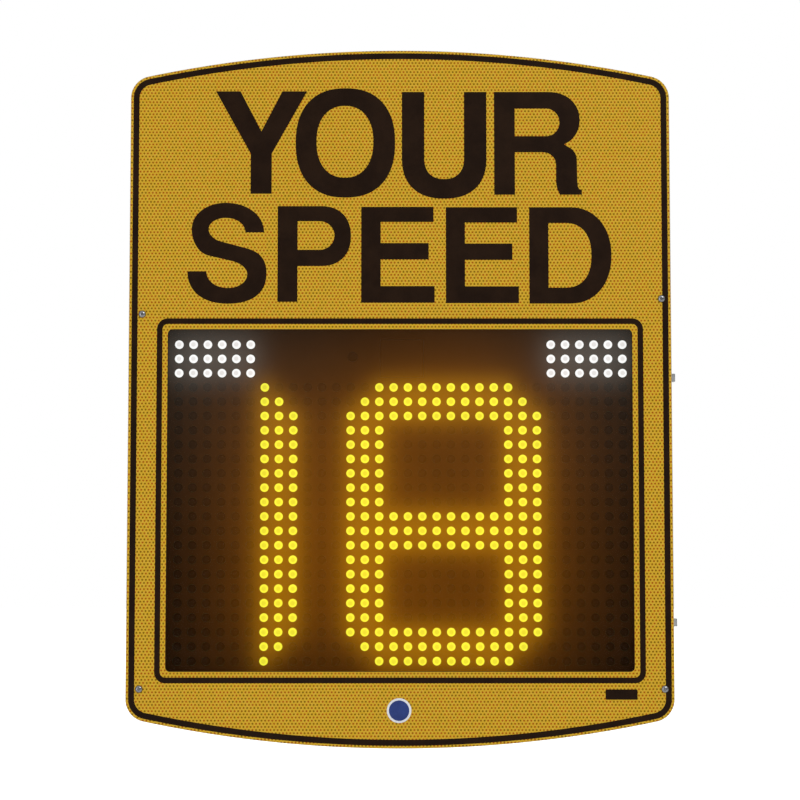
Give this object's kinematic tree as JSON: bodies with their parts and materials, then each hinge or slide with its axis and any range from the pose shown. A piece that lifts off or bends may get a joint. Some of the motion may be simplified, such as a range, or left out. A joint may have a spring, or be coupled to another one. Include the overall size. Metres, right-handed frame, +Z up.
{
  "type": "solar speed sign",
  "caption": "Arched yellow driver feedback sign: amber LED digits behind a smoked window, hinged on a shallow battery cabinet with a pole bracket.",
  "frame": {"origin": "centre of the pole bracket's flat rear face, where the sign is held against its pole", "axes": "+X to the right of someone facing the sign, +Y out of the back towards the pole, +Z up; the face looks along -Y"},
  "size_m": [0.6129, 0.1762, 0.777],
  "materials": {
    "sheeting": "prismatic retroreflective film, golden yellow, honeycomb seal pattern",
    "bare_aluminium": "mill finish sheet",
    "powder_coat": "grey powder coat, fine orange peel",
    "stainless": "stainless steel",
    "zinc_plate": "zinc plated",
    "black_rubber": "matt EPDM",
    "smoked_window": "smoked polycarbonate",
    "mask_black": "matt black",
    "circuit_board": "solder resist over glass fibre",
    "black_plastic": "fine moulded texture",
    "grey_plastic": "fine moulded texture",
    "battery_case": "moulded case",
    "switch_red": "gloss"
  },
  "bodies": {
    "cabinet": {"hinge_upper_cabinet_leaf": "stainless", "hinge_upper_pin": "stainless", "hinge_lower_cabinet_leaf": "stainless", "hinge_lower_pin": "stainless", "cabinet_shell": "powder_coat", "door_seal": "black_rubber", "cable_gland_body": "black_plastic", "cable_gland_cap": "black_plastic", "cable_gland_nut": "black_plastic", "vent_plug": "black_plastic", "lock_upper_housing": "stainless", "lock_upper_nut": "zinc_plate", "lock_lower_housing": "stainless", "lock_lower_nut": "zinc_plate", "battery_left": "battery_case", "battery_right": "battery_case", "battery_tray": "zinc_plate", "battery_clamp": "zinc_plate", "charge_controller": "grey_plastic", "fuse_block": "black_plastic", "switch_housing": "grey_plastic", "pole_bracket": "powder_coat", "backing_strip_upper": "zinc_plate", "backing_strip_lower": "zinc_plate", "bracket_bolt_1": "stainless", "bracket_bolt_2": "stainless", "bracket_bolt_3": "stainless", "bracket_bolt_4": "stainless"},
    "door": {"reflective_sheeting": "sheeting", "face_panel": "bare_aluminium", "header_stiffener": "bare_aluminium", "face_screw_upper_left": "stainless", "face_screw_upper_right": "stainless", "face_screw_lower_left": "stainless", "face_screw_lower_right": "stainless", "window_seal": "black_rubber", "window_pane": "smoked_window", "window_spacer": "black_rubber", "display_mask": "mask_black", "led_board_upper_left": "circuit_board", "led_board_upper_right": "circuit_board", "led_board_lower_left": "circuit_board", "led_board_lower_right": "circuit_board", "strobe_board_left": "circuit_board", "strobe_board_right": "circuit_board", "radar_module": "circuit_board", "light_sensor": "black_plastic", "display_cover": "powder_coat", "sign_controller": "grey_plastic", "door_frame": "powder_coat", "strike_upper": "zinc_plate", "strike_lower": "zinc_plate", "hinge_upper_door_leaf": "stainless", "hinge_lower_door_leaf": "stainless"},
    "upper_lock": {"lock_upper_spindle": "stainless", "lock_upper_cam": "zinc_plate"},
    "lower_lock": {"lock_lower_spindle": "stainless", "lock_lower_cam": "zinc_plate"},
    "rocker": {"switch_rocker": "switch_red"}
  },
  "joints": [
    {"name": "door_hinge", "type": "hinge", "parent": "cabinet", "child": "door", "pos_m": [-0.296, -0.1617, 0], "axis": [0, 0, -1], "range_deg": [0, 110]},
    {"name": "upper_lock_turn", "type": "hinge", "parent": "cabinet", "child": "upper_lock", "pos_m": [0.29, -0.1357, 0.1373], "axis": [1, 0, 0], "range_deg": [0, 90]},
    {"name": "lower_lock_turn", "type": "hinge", "parent": "cabinet", "child": "lower_lock", "pos_m": [0.29, -0.1357, -0.1378], "axis": [1, 0, 0], "range_deg": [0, 90]},
    {"name": "power_switch_tip", "type": "hinge", "parent": "cabinet", "child": "rocker", "pos_m": [0.2, -0.0732, 0.155], "axis": [1, 0, 0], "range_deg": [0, 20]}
  ]
}
